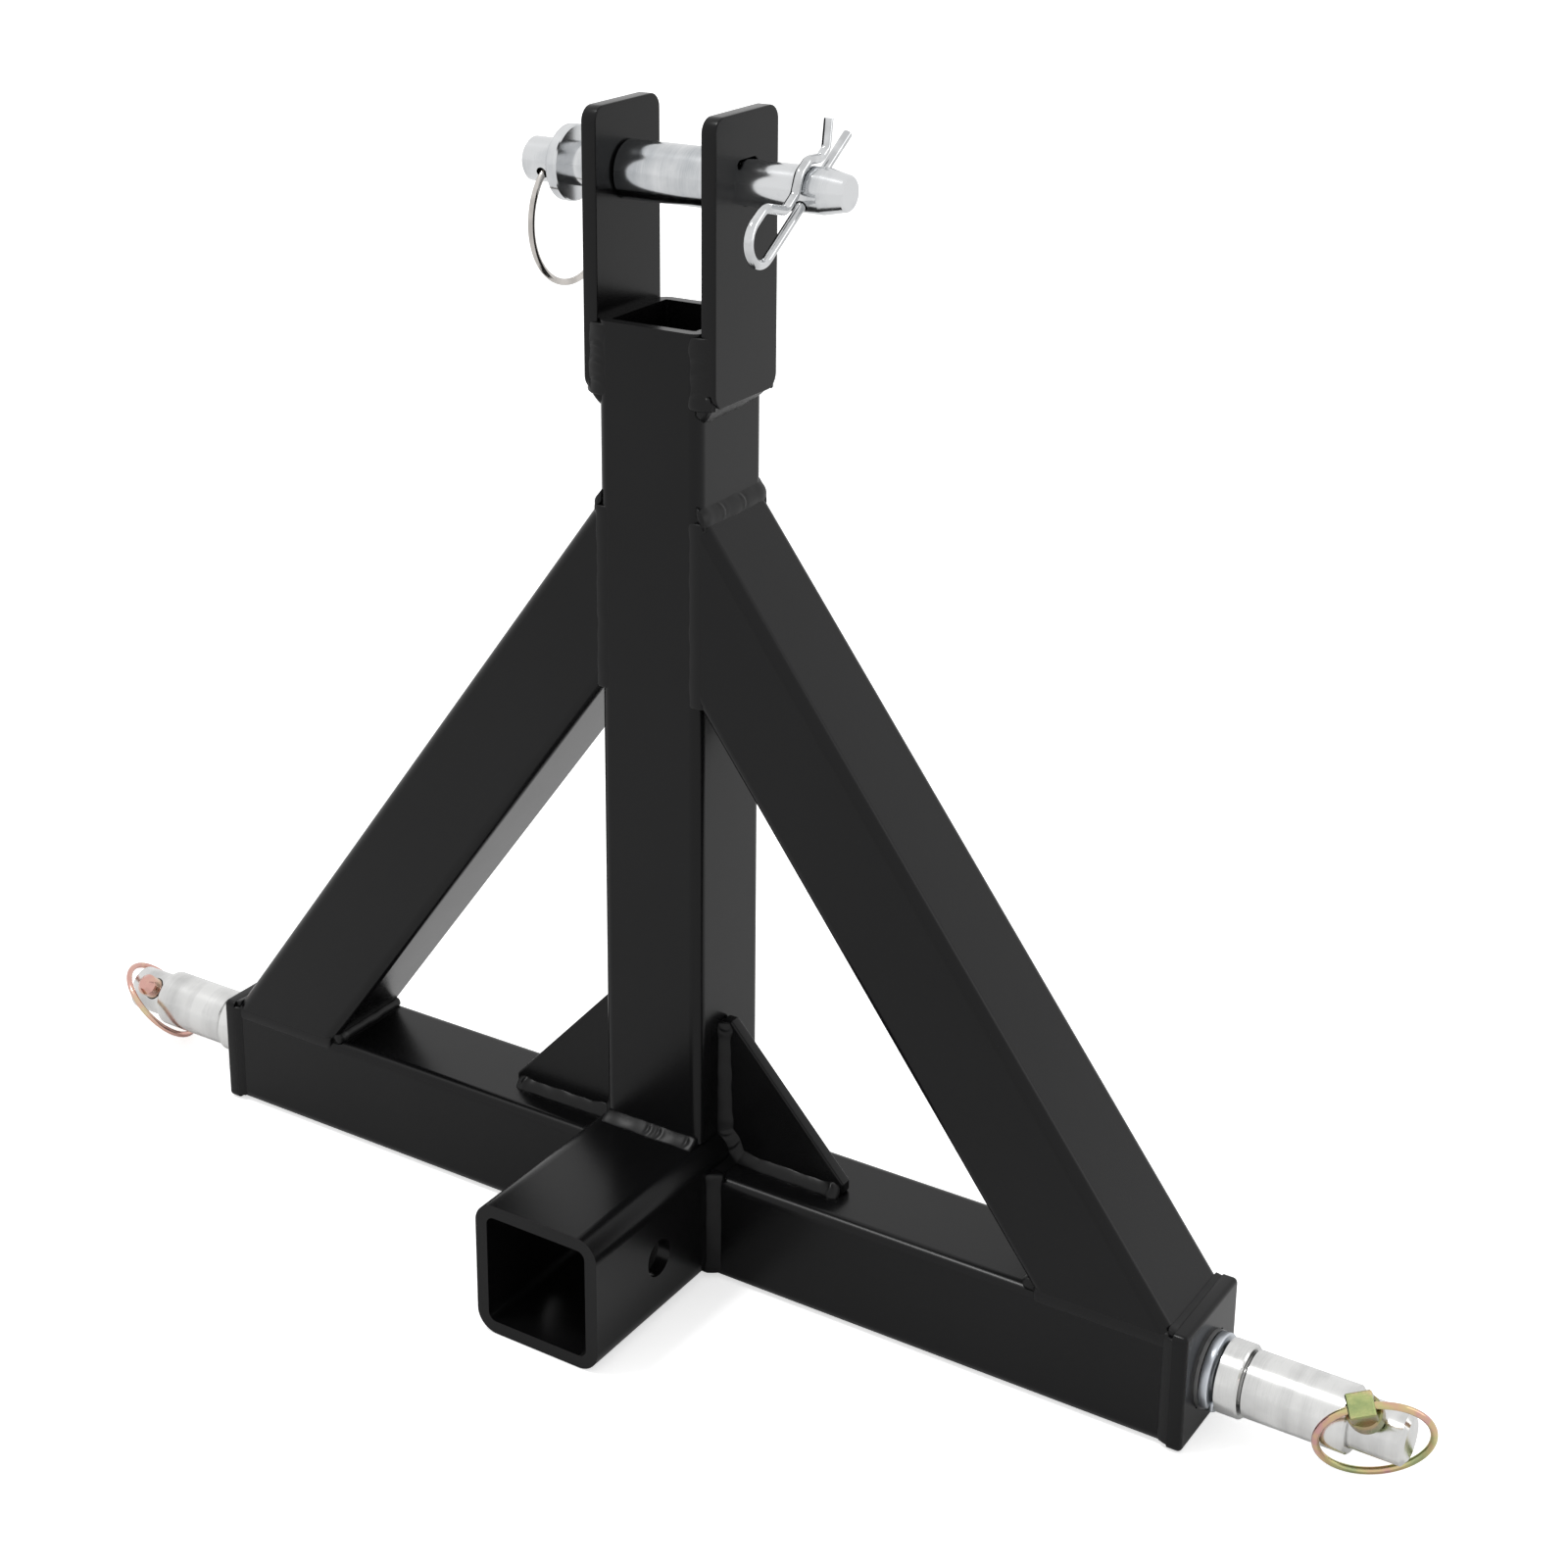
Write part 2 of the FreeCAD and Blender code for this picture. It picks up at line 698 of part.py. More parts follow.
def top_pin():
    """Turned top link pin: ring knob, flange, shank and tapered nose, with two cross holes."""
    shank = top_pin_diameter / 2
    flange = top_flange_diameter / 2
    flange_face = -ear_outer - top_flange_setback
    flange_back = flange_face - top_flange_thickness
    knob_end = flange_back - top_knob_length
    nose_end = ear_outer + top_pin_reach
    nose_start = nose_end - top_nose_length
    profile = [
        (knob_end, shank - top_knob_chamfer),
        (knob_end + top_knob_chamfer, shank),
        (flange_back, shank),
        (flange_back, flange - top_flange_chamfer),
        (flange_back + top_flange_chamfer, flange),
        (flange_face - top_flange_chamfer, flange),
        (flange_face, flange - top_flange_chamfer),
        (flange_face, shank),
        (nose_start, shank),
        (nose_end - edge_chamfer, top_nose_end_diameter / 2 + edge_chamfer),
        (nose_end, top_nose_end_diameter / 2),
    ]
    pin = turned(profile)
    ring_direction = tilted(top_knob_hole_tilt)
    ring_place = Vector(top_ring_place(), 0, 0)
    ring_hole = Part.makeCylinder(
        top_knob_hole_diameter / 2,
        2 * top_pin_diameter,
        ring_place - ring_direction * top_pin_diameter,
        ring_direction,
    )
    clip_direction = tilted(clip_tilt)
    clip_place = Vector(top_clip_place(), 0, 0)
    clip_hole = Part.makeCylinder(
        clip_hole_diameter / 2,
        2 * top_pin_diameter,
        clip_place - clip_direction * top_pin_diameter,
        clip_direction,
    )
    pin = pin.cut(ring_hole).cut(clip_hole)
    pin.translate(Vector(0, bar_middle, top_pin_height))
    return pin


def tilted(angle):
    """Direction across the pins that rises towards the back."""
    return Vector(0, math.cos(math.radians(angle)), math.sin(math.radians(angle)))


def top_ring_place():
    return -ear_outer - top_flange_setback - top_flange_thickness - top_knob_hole_setback


def top_clip_place():
    return ear_outer + top_pin_reach - top_nose_length - clip_hole_setback


def top_bushing():
    half = mast_side - top_bushing_play
    outer = top_bushing_diameter / 2
    inner = top_pin_diameter / 2 + bushing_bore_clearance
    profile = [
        (-half, outer - top_bushing_chamfer),
        (-half + top_bushing_chamfer, outer),
        (half - top_bushing_chamfer, outer),
        (half, outer - top_bushing_chamfer),
    ]
    sleeve = turned(profile)
    sleeve = sleeve.cut(Part.makeCylinder(inner, 2 * half, Vector(-half, 0, 0), AXIS_X))
    sleeve.translate(Vector(0, bar_middle, top_pin_height))
    return sleeve


def top_ring():
    """Wire ring through the knob's hole, hanging behind the pin's axis."""
    ring = Part.makeTorus(top_ring_radius, top_ring_wire / 2, ORIGIN, AXIS_X)
    half_chord = top_pin_diameter / 2
    drop = (top_ring_radius + math.sqrt(top_ring_radius ** 2 - half_chord ** 2)) / 2
    hang = tilted(top_knob_hole_tilt - 90)
    middle = Vector(top_ring_place(), bar_middle, top_pin_height)
    ring.translate(middle + hang * drop)
    return ring


def spring_clip():
    """Wire clip: straight leg through the pin, round eye, and a waved leg over the pin."""
    crest = top_pin_diameter / 2 + clip_wire / 2 + clip_crest_gap
    eye = clip_loop_width / 2 - clip_eye_slack
    outline = [
        (clip_tip_reach, 0),
        (-clip_loop_reach, 0),
        (-clip_loop_reach, clip_loop_width),
        (-clip_loop_reach + clip_loop_length, clip_loop_width),
        (-clip_waist_start, clip_waist),
        (-clip_waist_end, clip_waist),
        (-clip_crest_length / 2, crest),
        (clip_crest_length / 2, crest),
        (clip_throat_start, clip_throat),
        (clip_throat_end, clip_throat),
        (clip_flare_reach, clip_flare),
    ]
    along = tilted(clip_tilt)
    across = tilted(clip_tilt + 90)
    centre = Vector(top_clip_place(), bar_middle, top_pin_height)
    points = [centre + along * u + across * v for u, v in outline]
    radii = [eye, eye, clip_neck_bend] + 5 * [clip_bend] + [clip_flare_bend]
    return round_wire(bent_path(points, radii), clip_wire)


def filled_frame(pieces):
    """Frame with its tubes filled, so that a bead cut by it stays outside the walls."""
    receiver = rounded_bar(receiver_size, receiver_corner, receiver_reach + bar_size)
    receiver.rotate(ORIGIN, AXIS_X, -90)
    receiver.translate(Vector(0, -receiver_reach, receiver_size / 2))
    mast = rounded_bar(bar_size, bar_corner, mast_top_height - receiver_size)
    mast.translate(Vector(0, bar_middle, receiver_size))
    bar = rounded_bar(bar_size, bar_corner, crossbar_reach - receiver_side)
    bar.rotate(ORIGIN, AXIS_Y, 90)
    bar.translate(Vector(receiver_side, bar_middle, bar_axis_height))
    plates = [pieces[name] for name in ("gusset_right", "end_plate_right", "clevis_ear_right")]
    return receiver.fuse([mast, bar, brace(0)] + plates)


def build():
    pieces = {}
    pieces["receiver_tube"] = receiver_tube()
    pieces["mast_tube"] = mast_tube()
    pieces["crossbar_right"] = crossbar()
    pieces["brace_right"] = brace(bar_wall)
    pieces["gusset_right"] = gusset()
    pieces["end_plate_right"] = end_plate()
    pieces["clevis_ear_right"] = clevis_ear()
    structure = filled_frame(pieces)
    brace_run = (crossbar_reach - mast_side) / (brace_top_height - bar_size)
    brace_foot_width = bar_size * math.sqrt(1 + brace_run ** 2)
    brace_inner_foot = crossbar_reach - brace_foot_width
    pieces["mast_foot_weld"] = mast_foot_weld(structure)
    pieces["receiver_weld_right"] = receiver_weld(structure)
    pieces["ear_weld_right"] = ear_weld(structure)
    pieces["brace_top_weld_right"] = brace_top_weld(structure)
    pieces["brace_foot_weld_right"] = brace_foot_weld(structure, brace_inner_foot)
    pieces["gusset_weld_right"] = gusset_weld(structure.fuse(pieces["receiver_weld_right"]))
    pieces["end_plate_weld_right"] = end_plate_weld(structure)
    pieces["weld_nut_right"] = weld_nut()
    pieces["lock_washer_right"] = lock_washer()
    pieces["lower_bushing_right"] = lower_bushing()
    plain_pin = lower_pin()
    for name in list(pieces):
        if name.endswith("_right"):
            pieces[name.replace("_right", "_left")] = mirrored(pieces[name])
    pieces["lower_pin_right"] = drilled(plain_pin, 1, right_linch_tilt)
    pieces["lower_pin_left"] = drilled(mirrored(plain_pin), -1, left_linch_tilt)
    right_place = linch_frame(1, right_linch_tilt, right_linch_twist)
    left_place = linch_frame(-1, left_linch_tilt, left_linch_twist)
    pieces["linch_pin_right"] = placed(linch_pin(), right_place)
    pieces["linch_pin_left"] = placed(linch_pin(), left_place)
    pieces["linch_ring_right"] = placed(linch_ring(right_ring_swing), right_place)
    pieces["linch_ring_left"] = placed(linch_ring(left_ring_swing), left_place)
    pieces["top_pin"] = top_pin()
    pieces["top_bushing"] = top_bushing()
    pieces["top_ring"] = top_ring()
    pieces["spring_clip"] = spring_clip()
    return pieces


def main():
    os.makedirs("parts", exist_ok=True)
    for name, shape in build().items():
        shape.exportStep("parts/" + name + ".step")
        print(name, "solids", len(shape.Solids), "volume", round(shape.Volume, 1), "valid", shape.isValid())


main()
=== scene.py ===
import json
import math

import bpy
import numpy as np
from mathutils import Matrix


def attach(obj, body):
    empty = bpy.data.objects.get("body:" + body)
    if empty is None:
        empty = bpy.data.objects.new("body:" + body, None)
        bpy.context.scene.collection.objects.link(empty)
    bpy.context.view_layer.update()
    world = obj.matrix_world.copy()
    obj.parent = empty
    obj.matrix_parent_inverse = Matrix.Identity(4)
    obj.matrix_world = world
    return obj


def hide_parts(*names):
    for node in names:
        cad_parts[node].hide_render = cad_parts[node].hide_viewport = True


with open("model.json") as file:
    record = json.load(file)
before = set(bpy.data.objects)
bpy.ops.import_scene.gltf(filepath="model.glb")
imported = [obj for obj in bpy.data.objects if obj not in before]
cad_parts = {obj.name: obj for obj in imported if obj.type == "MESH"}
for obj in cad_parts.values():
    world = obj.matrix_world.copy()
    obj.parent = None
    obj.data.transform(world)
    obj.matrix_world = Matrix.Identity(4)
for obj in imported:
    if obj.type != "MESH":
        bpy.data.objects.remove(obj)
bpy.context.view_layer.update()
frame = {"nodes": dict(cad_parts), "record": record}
print("stage 1: frame loaded")

mm = 0.001


# each vector divided by its own length
def unit(vectors):
    length = np.linalg.norm(vectors, axis=-1, keepdims=True)
    return vectors / np.maximum(length, 1e-12)


# corner numbers of the quads between the rows and columns of a grid; the columns always close on themselves
def gridQuads(rows, columns, ringed):
    bands = rows if ringed else rows - 1
    row, column = np.meshgrid(np.arange(bands), np.arange(columns), indexing="ij")
    here, after = row * columns, (row + 1) % rows * columns
    beside = (column + 1) % columns
    corners = [here + column, here + beside, after + beside, after + column]
    return np.stack(corners, axis=-1).reshape(-1, 4)


# six times the volume inside a grid with its ends closed by fans: a dot (b cross c), added up over the
# triangles; below zero the faces point inwards
def signedVolume(points, quads, columns, ringed):
    a, b, c, d = (points[quads[:, k]] for k in range(4))
    total = np.einsum("ij,ij->", a, np.cross(b, c)) + np.einsum("ij,ij->", a, np.cross(c, d))
    if not ringed:
        for ring in (points[:columns][::-1], points[-columns:]):
            total += np.einsum("j,ij->", ring[0], np.cross(ring[1:-1], ring[2:]))
    return total


# puts grids of points in millimetres into one smooth mesh that rides on a body
def pieceFrom(name, grids, body, ringed=False, replaced=()):
    points = []
    faces = []
    start = 0
    for grid in grids:
        rows, columns = grid.shape[:2]
        flat = grid.reshape(-1, 3)
        quads = gridQuads(rows, columns, ringed)
        way = 1 if signedVolume(flat - flat.mean(axis=0), quads, columns, ringed) > 0 else -1
        caps = [] if ringed else [np.arange(columns)[::-1], np.arange(columns) + (rows - 1) * columns]
        faces += (quads + start)[:, ::way].tolist()
        faces += [(cap + start)[::way].tolist() for cap in caps]
        points.append(flat)
        start += rows * columns
    mesh = bpy.data.meshes.new(name)
    mesh.from_pydata((np.concatenate(points) * mm).tolist(), [], faces)
    mesh.update()
    mesh.shade_smooth()
    piece = bpy.data.objects.new(name, mesh)
    bpy.context.scene.collection.objects.link(piece)
    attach(piece, body)
    if replaced:
        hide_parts(*replaced)
    return piece


# the same points with x turned to -x
def mirrorX(grid):
    return grid * np.array([-1.0, 1.0, 1.0])


# wraps a node's output, so that sums on values of a material read as plain expressions
class Value:
    def __init__(self, nodes, socket):
        self.nodes = nodes
        self.socket = socket

    def combine(self, operation, first, second):
        return self.nodes.node("ShaderNodeMath", {"operation": operation}, {0: first, 1: second})

    def __add__(self, other):
        return self.combine("ADD", self, other)

    def __radd__(self, other):
        return self.combine("ADD", other, self)

    def __sub__(self, other):
        return self.combine("SUBTRACT", self, other)

    def __rsub__(self, other):
        return self.combine("SUBTRACT", other, self)

    def __mul__(self, other):
        return self.combine("MULTIPLY", self, other)

    def __rmul__(self, other):
        return self.combine("MULTIPLY", other, self)

    def most(self, other):
        return self.combine("MAXIMUM", self, other)


# adds nodes to the tree of a material or of the world
class Nodes:
    def __init__(self, tree):
        self.tree = tree

    def node(self, kind, settings=None, sockets=None, output=0):
        made = self.tree.nodes.new(kind)
        for key, setting in (settings or {}).items():
            if key == "stops":
                self.rampStops(made.color_ramp, setting)
            else:
                setattr(made, key, setting)
        for key, source in (sockets or {}).items():
            self.feed(made.inputs[key], source)
        return Value(self, made.outputs[output])

    def feed(self, socket, source):
        if isinstance(source, Value):
            self.tree.links.new(source.socket, socket)
        else:
            socket.default_value = source

    def rampStops(self, ramp, stops):
        while len(ramp.elements) < len(stops):
            ramp.elements.new(0.5)
        for element, (position, colour) in zip(ramp.elements, stops):
            element.position = position
            element.color = colour


# a new material, with what its finish needs on its one shader
class Finish(Nodes):
    def __init__(self, name, **shaderValues):
        self.material = bpy.data.materials.new(name)
        self.material.use_nodes = True
        super().__init__(self.material.node_tree)
        self.shader = self.tree.nodes["Principled BSDF"]
        self.shade(**shaderValues)

    def shade(self, **sources):
        for socket, source in sources.items():
            self.feed(self.shader.inputs[socket.replace("_", " ")], source)

    def point(self):
        return self.node("ShaderNodeTexCoord", output="Object")

    def stretched(self, scale):
        return self.node("ShaderNodeMapping", None, {"Vector": self.point(), "Scale": scale})

    def noise(self, vector, scale, detail=2.0, rough=0.5):
        sockets = {"Vector": vector, "Scale": scale, "Detail": detail, "Roughness": rough}
        return self.node("ShaderNodeTexNoise", None, sockets, "Fac")

    def ramp(self, value, places, colours):
        stops = list(zip(places, colours))
        return self.node("ShaderNodeValToRGB", {"stops": stops}, {"Fac": value})

    def bump(self, height, distance, strength, under=None):
        sockets = {"Height": height, "Distance": distance, "Strength": strength}
        if under is not None:
            sockets["Normal"] = under
        return self.node("ShaderNodeBump", None, sockets)


paintLook = {
    "dark": (0.0026, 0.0026, 0.0028, 1),
    "light": (0.0040, 0.0040, 0.0043, 1),
    "cloudScale": 9.0,
    "cloudEnds": (0.35, 0.65),
    "gloss": 0.21,
    "roughness": 0.2,
    "roughnessSpread": 0.08,
    "grainRoughness": 0.02,
    "grainScale": 1100.0,
    "grainDepth": 0.000012,
    "waveScale": 30.0,
    "waveDepth": 0.00012,
    "relief": 0.5,
}
beadPaintLook = paintLook | {"gloss": 0.24, "roughness": 0.26, "roughnessSpread": 0.16}


# powder coat: fine orange peel over a slow wave, a little uneven in shade and gloss
def powderCoat(name, look):
    finish = Finish(name, Specular_IOR_Level=look["gloss"])
    grain = finish.noise(finish.point(), look["grainScale"], 3.0)
    wave = finish.noise(finish.point(), look["waveScale"])
    cloud = finish.noise(finish.point(), look["cloudScale"], 4.0, 0.6)
    slow = finish.bump(wave, look["waveDepth"], look["relief"])
    fine = finish.bump(grain, look["grainDepth"], look["relief"], slow)
    colour = finish.ramp(cloud, look["cloudEnds"], (look["dark"], look["light"]))
    rough = cloud * look["roughnessSpread"] + grain * look["grainRoughness"] + look["roughness"]
    finish.shade(Base_Color=colour, Roughness=rough, Normal=fine)
    return finish.material


turnedLook = {
    "squeeze": (1.0, 0.02, 0.02),
    "cloudScale": 70.0,
    "bandShare": 0.55,
    "cloudShare": 0.3,
    "lineShare": 0.15,
    "colourEnds": (0.38, 0.56),
    "lineRoughness": 0.05,
    "cloudRoughness": 0.06,
    "relief": 0.5,
}
brightZinc = turnedLook | {
    "low": (0.52, 0.52, 0.515, 1),
    "high": (0.74, 0.74, 0.73, 1),
    "leastRoughness": 0.14,
    "lineScale": 3600.0,
    "lineDepth": 0.000008,
    "bandScale": 60.0,
}
blueZinc = turnedLook | {
    "low": (0.40, 0.42, 0.44, 1),
    "high": (0.68, 0.69, 0.70, 1),
    "leastRoughness": 0.09,
    "lineScale": 3000.0,
    "lineDepth": 0.000004,
    "bandScale": 40.0,
}
# blue zinc made lighter all over for the spring washers: painted highlight, standing in for the bright ring
# of light on their edge
washerZincPaintedLight = blueZinc | {
    "low": (0.50, 0.53, 0.57, 1),
    "high": (0.76, 0.79, 0.83, 1),
    "leastRoughness": 0.27,
}


# turned steel: lines round the piece, so the pattern is long across X, the piece's axis, and fine along it
def turnedSteel(name, look):
    finish = Finish(name, Metallic=1.0)
    around = finish.stretched(look["squeeze"])
    lines = finish.noise(around, look["lineScale"], 4.0, 0.7)
    bands = finish.noise(around, look["bandScale"], 3.0, 0.6)
    cloud = finish.noise(finish.point(), look["cloudScale"], 4.0)
    mix = bands * look["bandShare"] + cloud * look["cloudShare"] + lines * look["lineShare"]
    colour = finish.ramp(mix, look["colourEnds"], (look["low"], look["high"]))
    rough = lines * look["lineRoughness"] + cloud * look["cloudRoughness"] + look["leastRoughness"]
    relief = finish.bump(lines, look["lineDepth"], look["relief"])
    finish.shade(Base_Color=colour, Roughness=rough, Normal=relief)
    return finish.material


yellowLook = {
    "patchScale": 60.0,
    "leastRoughness": 0.08,
    "patchRoughness": 0.14,
    "grainRoughness": 0.06,
    "grainScale": 1500.0,
    "grainDepth": 0.00004,
    "relief": 0.4,
}
goldLook = yellowLook | {
    "places": (0.34, 0.46, 0.55, 0.64),
    "colours": [
        (0.42, 0.47, 0.24, 1),
        (0.60, 0.54, 0.26, 1),
        (0.66, 0.46, 0.28, 1),
        (0.64, 0.36, 0.34, 1),
    ],
}
# the right linch pin's yellow zinc: a green-gold tint of its own, darkened all over as painted shade that
# keeps its head from reading bright
greenGoldPaintedShadeLook = yellowLook | {
    "leastRoughness": 0.14,
    "places": (0.36, 0.48, 0.58),
    "colours": [(0.20, 0.25, 0.11, 1), (0.27, 0.30, 0.13, 1), (0.38, 0.29, 0.17, 1)],
}
roseGoldLook = yellowLook | {
    "places": (0.36, 0.48, 0.60),
    "colours": [(0.66, 0.54, 0.34, 1), (0.70, 0.47, 0.36, 1), (0.66, 0.38, 0.33, 1)],
}


# yellow passivated zinc: gold with patches of green and rose
def yellowZinc(name, look):
    finish = Finish(name, Metallic=1.0)
    patches = finish.noise(finish.point(), look["patchScale"], 3.0, 0.6)
    grain = finish.noise(finish.point(), look["grainScale"], 3.0)
    rough = patches * look["patchRoughness"] + grain * look["grainRoughness"] + look["leastRoughness"]
    colour = finish.ramp(patches, look["places"], look["colours"])
    relief = finish.bump(grain, look["grainDepth"], look["relief"])
    finish.shade(Base_Color=colour, Roughness=rough, Normal=relief)
    return finish.material


wireLook = {
    "shadow": 0.8,
    "cloudScale": 110.0,
    "cloudEnds": (0.4, 0.6),
    "cloudRoughness": 0.12,
    "grainScale": 900.0,
    "grainDepth": 0.00003,
    "relief": 0.4,
}
zincWireLook = wireLook | {"colour": (0.66, 0.67, 0.68, 1), "leastRoughness": 0.05}
nickelWireLook = wireLook | {"colour": (0.60, 0.57, 0.54, 1), "leastRoughness": 0.07}
plainSteelLook = wireLook | {"colour": (0.3, 0.3, 0.3, 1), "leastRoughness": 0.40}


# drawn wire: a bright metal with soft clouds in its shade and gloss
def drawnWire(name, look):
    finish = Finish(name, Metallic=1.0)
    grain = finish.noise(finish.point(), look["grainScale"], 3.0)
    cloud = finish.noise(finish.point(), look["cloudScale"], 3.0)
    shadow = tuple(look["shadow"] * part for part in look["colour"][:3]) + (1,)
    shade = finish.ramp(cloud, look["cloudEnds"], (shadow, look["colour"]))
    rough = cloud * look["cloudRoughness"] + look["leastRoughness"]
    relief = finish.bump(grain, look["grainDepth"], look["relief"])
    finish.shade(Base_Color=shade, Roughness=rough, Normal=relief)
    return finish.material


powder = powderCoat("framePowderCoat", paintLook)
beadPowder = powderCoat("beadPowderCoat", beadPaintLook)
blueSteel = turnedSteel("blueZincSteel", blueZinc)
# the spring washers' finish is the lightened blue zinc above, a painted highlight
washerSteelPaintedLight = turnedSteel("washerSteelPaintedLight", washerZincPaintedLight)
roseZinc = yellowZinc("roseZinc", roseGoldLook)
slotFinish = {
    "frame_paint": powder,
    "plain_steel": drawnWire("plainSteel", plainSteelLook),
    "zinc_steel": turnedSteel("turnedZincSteel", brightZinc),
    "yellow_zinc": yellowZinc("yellowZinc", goldLook),
    "nickel_wire": drawnWire("nickelWire", nickelWireLook),
}
nodeFinish = {
    "top_bushing": blueSteel,
    "top_pin": blueSteel,
    "spring_clip": drawnWire("zincWire", zincWireLook),
    # the right linch pin takes the darkened green-gold zinc, a painted shade
    "linch_pin_right": yellowZinc("greenGoldZincPaintedShade", greenGoldPaintedShadeLook),
    "linch_pin_left": roseZinc,
    "linch_ring_left": roseZinc,
}
for part in frame["record"]["subparts"]:
    node = frame["nodes"][part["node"]]
    node.data.materials.clear()
    node.data.materials.append(nodeFinish.get(part["node"], slotFinish[part["material_slot"]]))
print("stage 2: finishes on the frame's nodes")

beadLook = {
    "step": 0.4,
    "columns": 13,
    "taper": 2.0,
    "endSize": 0.86,
    "root": 2.6,
    "blobLength": 3.0,
    "waver": 0.05,
    "waverRates": ((0.41, 0.13), (0.37, 0.17)),
    "pitch": 4.7,
    "lag": 0.7,
    "drift": (0.3, 6.1),
    "ripple": 0.009,
    "rippleFade": (0.75, 0.35, 9.3),
    "lump": 0.07,
    "lumpLengths": (3.4, 7.7),
    "stopHeight": 0.35,
    "stopLean": 1.6,
    "stopLength": 0.9,
    "dip": 0.6,
    "dipBehind": 1.9,
    "dipLength": 1.1,
}


# a weld bead: rows are stations along a joint's corner, columns run over the face from one toe to the other
# and back through three roots inside the pieces; the face stands out by crown times 4t(1-t), with faint
# ripples that lean back, slow lumps, stop marks with a dip behind, wavering toes, blobs that swell it, and
# legs that shrink a little to the ends as a quarter circle
def beadGrid(path, firstSide, secondSide, size, seed):
    look = beadLook
    path = np.array(path, dtype=float)
    marks = np.concatenate([[0.0], np.cumsum(np.linalg.norm(np.diff(path, axis=0), axis=1))])
    length = marks[-1]
    station = np.linspace(0.0, length, int(length / look["step"]) + 2)

    def spread(values):
        values = np.array(values, dtype=float)
        table = values if values.ndim == 2 else np.tile(values, (len(path), 1))
        return np.stack([np.interp(station, marks, table[:, k]) for k in range(table.shape[1])], axis=1)

    corner, first, second = spread(path), unit(spread(firstSide)), unit(spread(secondSide))
    toEnd = np.clip(np.minimum(station, length - station) / look["taper"], 0, 1)
    swell = look["endSize"] + (1 - look["endSize"]) * np.sqrt(1 - (1 - toEnd) ** 2)
    for place, share in size.get("blobs", ()):
        swell = swell + share * np.exp(-(((station - place * length) / look["blobLength"]) ** 2))
    firstLeg, secondLeg = spread(size["legs"]).T * swell
    ripple = size.get("ripple", 1.0)
    wander = look["waver"] * ripple
    (quick, slow), (quicker, slower) = look["waverRates"]
    firstWave = wander * np.sin(station * quick + seed) * np.sin(station * slow + 2 * seed)
    secondWave = wander * np.sin(station * quicker + 3 * seed) * np.sin(station * slower + seed)
    firstLeg, secondLeg = firstLeg * (1 + firstWave), secondLeg * (1 + secondWave)
    t = np.linspace(0, 1, look["columns"])[None, :, None]
    s = station[:, None, None]
    edge = (2 * t - 1) ** 2
    hump = 4 * t * (1 - t)
    driftSize, driftLength = look["drift"]
    phase = s / look["pitch"] - look["lag"] * (1 - edge) + driftSize * np.sin(s / driftLength + seed)
    base, swing, swingLength = look["rippleFade"]
    coins = look["ripple"] * np.cos(2 * np.pi * phase) * (base + swing * np.sin(s / swingLength + 2 * seed))
    short, long = look["lumpLengths"]
    lumps = look["lump"] * np.sin(s / short + 2 * t + seed) * np.sin(s / long + 2 * seed)
    height = size["crown"] * hump + ripple * (coins + lumps) * np.sqrt(hump)
    for place in size.get("stops", ()):
        behind = s - place * length + look["stopLean"] * edge
        mark = np.exp(-((behind / look["stopLength"]) ** 2))
        dip = look["dip"] * np.exp(-(((behind - look["dipBehind"]) / look["dipLength"]) ** 2))
        height = height + look["stopHeight"] * hump * (mark - dip)
    outward = unit(first + second)
    firstToe, secondToe = corner + first * firstLeg[:, None], corner + second * secondLeg[:, None]
    face = firstToe[:, None] * (1 - t) + secondToe[:, None] * t
    face = face + outward[:, None] * height * swell[:, None, None]
    root = look["root"]
    roots = [secondToe - first * root, corner - (first + second) * root, firstToe - second * root]
    return np.concatenate([face, np.stack(roots, axis=1)], axis=1)


# a weld on the frame, in its node's place where the frame has one
def beadPiece(name, grids, replaced):
    piece = pieceFrom(name, grids, "frame_body", replaced=replaced)
    piece.data.materials.append(beadPowder)


beadSeeds = {"right": 0.6, "left": 2.3}


# a weld on the right, and one with lumps of its own on the left, turned to the mirror image
def beadPair(name, makeGrids, replaced=None):
    for side, seed in beadSeeds.items():
        grids = makeGrids(seed)
        if side == "left":
            grids = [mirrorX(grid) for grid in grids]
        nodes = (replaced + "_" + side,) if replaced else ()
        beadPiece(name + side.capitalize(), grids, nodes)


# where the frame's tubes and plates meet, in millimetres
joint = {
    "barSize": 50.8,
    "receiverTop": 63.5,
    "receiverSide": 31.75,
    "mastSide": 25.4,
    "mastTop": 434.5,
    "earBottom": 403.0,
    "earFront": 1.4,
    "braceTop": 356.8,
    "braceInnerTop": 271.2,
    "braceInnerFoot": 187.7,
    "braceSlope": (0.593, 0, -0.805),
    "plateInside": 250.75,
    "gussetFront": 18.5,
    "pinAxis": (25.4, 25.4),
}
upSlope = tuple(-part for part in joint["braceSlope"])


# front and back changed over: y turned to the tube's size less y
def flipY(grid):
    return np.array([0, joint["barSize"], 0]) + grid * np.array([1.0, -1.0, 1.0])


mastFootWeld = {
    "reach": 23.8,
    "seed": 1.4,
    "size": {"legs": (5.6, 3.6), "crown": 0.25, "stops": (0.5, 0.62, 0.93), "blobs": ((0.56, 0.06),)},
}


# a straight line across the front of the mast, on the receiver's top
def mastFootBead():
    weld, z = mastFootWeld, joint["receiverTop"]
    path = [(-weld["reach"], 0, z), (weld["reach"], 0, z)]
    return [beadGrid(path, (0, -1, 0), (0, 0, 1), weld["size"], weld["seed"])]


